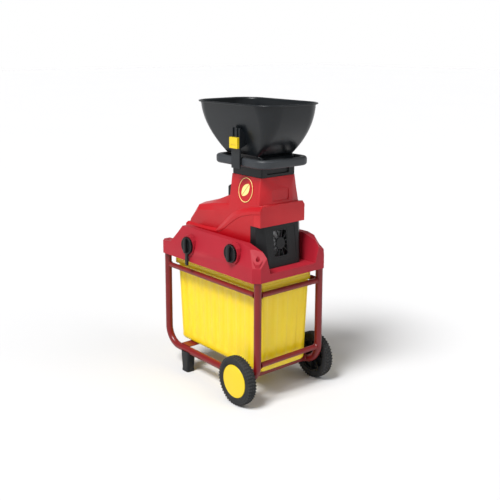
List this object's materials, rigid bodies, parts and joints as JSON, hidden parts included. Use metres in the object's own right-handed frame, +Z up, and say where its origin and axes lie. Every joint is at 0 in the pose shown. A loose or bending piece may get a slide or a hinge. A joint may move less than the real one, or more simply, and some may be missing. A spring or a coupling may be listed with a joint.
{
  "type": "wood chipper",
  "caption": "Wheeled electric garden shredder: feed hopper and collar over a geared cutting drum, tube frame, deck and slide-out catching bin.",
  "frame": {"origin": "on the ground, under the middle of the whole machine's outline", "axes": "+Z up; +X towards the wheel end, which also has the vent panel; -Y is the long side with the two knobs"},
  "size_m": [0.5521, 0.386, 0.984],
  "materials": {
    "frame_paint": "satin dark red enamel",
    "deck_plastic": "fine-grained red",
    "shell_plastic": "half-gloss red",
    "black_plastic": "fine-grained black",
    "bin_plastic": "translucent yellow",
    "yellow_plastic": "half-gloss yellow",
    "tyre_black": "dull, fine tread",
    "steel": "turned or ground",
    "alloy": "as cast",
    "green_button": "moulded",
    "red_button": "moulded"
  },
  "bodies": {
    "frame": {"axle": "steel", "axle_ring_left": "steel", "axle_ring_right": "steel", "axle_tube": "frame_paint", "capacitor": "black_plastic", "collar": "black_plastic", "cutting_chamber": "alloy", "deck": "deck_plastic", "deck_screw_front_left": "steel", "deck_screw_front_right": "steel", "deck_screw_rear_left": "steel", "deck_screw_rear_right": "steel", "drum_bearing_front": "steel", "drum_bearing_rear": "steel", "fan_grille": "black_plastic", "feed_throat": "black_plastic", "foot_left": "black_plastic", "foot_right": "black_plastic", "front_cover": "shell_plastic", "gear_case": "alloy", "inlet_socket": "black_plastic", "lower_crossbar_front": "frame_paint", "main_housing": "shell_plastic", "motor_can": "black_plastic", "motor_stator": "steel", "rear_cross_plate": "frame_paint", "ring_handle": "black_plastic", "side_tube_left": "frame_paint", "side_tube_right": "frame_paint", "switch_box": "black_plastic", "upper_rail_front": "frame_paint", "upper_rail_left": "frame_paint", "upper_rail_right": "frame_paint", "vent_panel": "black_plastic"},
    "wheel_left": {"tyre_left": "tyre_black", "wheel_rim_left": "black_plastic", "hub_cap_left": "yellow_plastic"},
    "wheel_right": {"tyre_right": "tyre_black", "wheel_rim_right": "black_plastic", "hub_cap_right": "yellow_plastic"},
    "bin": {"bin": "bin_plastic"},
    "bin_latch": {"bin_latch": "black_plastic"},
    "anvil_knob": {"anvil_knob": "black_plastic", "anvil_screw": "steel"},
    "anvil": {"anvil_plate": "steel"},
    "hopper": {"hopper": "black_plastic"},
    "hopper_latch": {"hopper_latch": "yellow_plastic"},
    "drum": {"cutting_drum": "steel", "drum_shaft": "steel", "drum_gear": "steel"},
    "middle_gears": {"middle_pinion": "steel", "fast_gear": "steel", "middle_shaft": "steel"},
    "rotor": {"motor_rotor": "steel", "motor_pinion": "steel", "motor_fan": "black_plastic"},
    "start_button": {"start_button": "green_button"},
    "stop_button": {"stop_button": "red_button"},
    "reset_button": {"reset_button": "red_button"},
    "direction_selector": {"direction_selector": "black_plastic"}
  },
  "joints": [
    {"name": "wheel_left_spin", "type": "hinge", "parent": "frame", "child": "wheel_left", "pos_m": [0.1852, -0.176, 0.082], "axis": [0, 1, 0], "continuous": true},
    {"name": "wheel_right_spin", "type": "hinge", "parent": "frame", "child": "wheel_right", "pos_m": [0.1852, 0.176, 0.082], "axis": [0, 1, 0], "continuous": true},
    {"name": "bin_slide", "type": "slide", "parent": "frame", "child": "bin", "axis": [-1, 0, 0], "range_m": [0, 0.52]},
    {"name": "bin_latch_turn", "type": "hinge", "parent": "frame", "child": "bin_latch", "pos_m": [-0.0995, -0.162, 0.48], "axis": [0, 1, 0], "range_deg": [0, 90]},
    {"name": "anvil_knob_turn", "type": "hinge", "parent": "frame", "child": "anvil_knob", "pos_m": [0.1395, -0.162, 0.501], "axis": [0, 1, 0], "range_deg": [0, 720]},
    {"name": "anvil_slide", "type": "slide", "parent": "frame", "child": "anvil", "axis": [0, 1, 0], "range_m": [0, 0.003]},
    {"name": "hopper_lift", "type": "slide", "parent": "frame", "child": "hopper", "axis": [0, 0, 1], "range_m": [0, 0.08]},
    {"name": "hopper_latch_slide", "type": "slide", "parent": "hopper", "child": "hopper_latch", "axis": [0, 0, -1], "range_m": [0, 0.012]},
    {"name": "drum_spin", "type": "hinge", "parent": "frame", "child": "drum", "pos_m": [0.11005, 0, 0.515], "axis": [1, 0, 0], "continuous": true},
    {"name": "middle_gears_spin", "type": "hinge", "parent": "frame", "child": "middle_gears", "pos_m": [0.041, 0.039, 0.54629], "axis": [1, 0, 0], "continuous": true},
    {"name": "rotor_spin", "type": "hinge", "parent": "frame", "child": "rotor", "pos_m": [-0.0935, 0, 0.535], "axis": [1, 0, 0], "continuous": true},
    {"name": "start_button_press", "type": "slide", "parent": "frame", "child": "start_button", "axis": [0, 0, -1], "range_m": [0, 0.003], "stiffness_N_per_m": 400, "springref_m": -0.002},
    {"name": "stop_button_press", "type": "slide", "parent": "frame", "child": "stop_button", "axis": [0, 0, -1], "range_m": [0, 0.003], "stiffness_N_per_m": 400, "springref_m": -0.002},
    {"name": "reset_button_press", "type": "slide", "parent": "frame", "child": "reset_button", "axis": [1, 0, 0], "range_m": [0, 0.003], "stiffness_N_per_m": 400, "springref_m": -0.002},
    {"name": "direction_selector_turn", "type": "hinge", "parent": "frame", "child": "direction_selector", "pos_m": [0.0165, 0, 0.702], "axis": [0, 0, 1], "range_deg": [0, 90]}
  ],
  "couplings": [
    {"joint": "middle_gears_spin", "follows": "drum_spin", "ratio": -4},
    {"joint": "rotor_spin", "follows": "drum_spin", "ratio": 19.2},
    {"joint": "anvil_knob_turn", "follows": "anvil_slide", "rad_per_m": 4188.7}
  ]
}
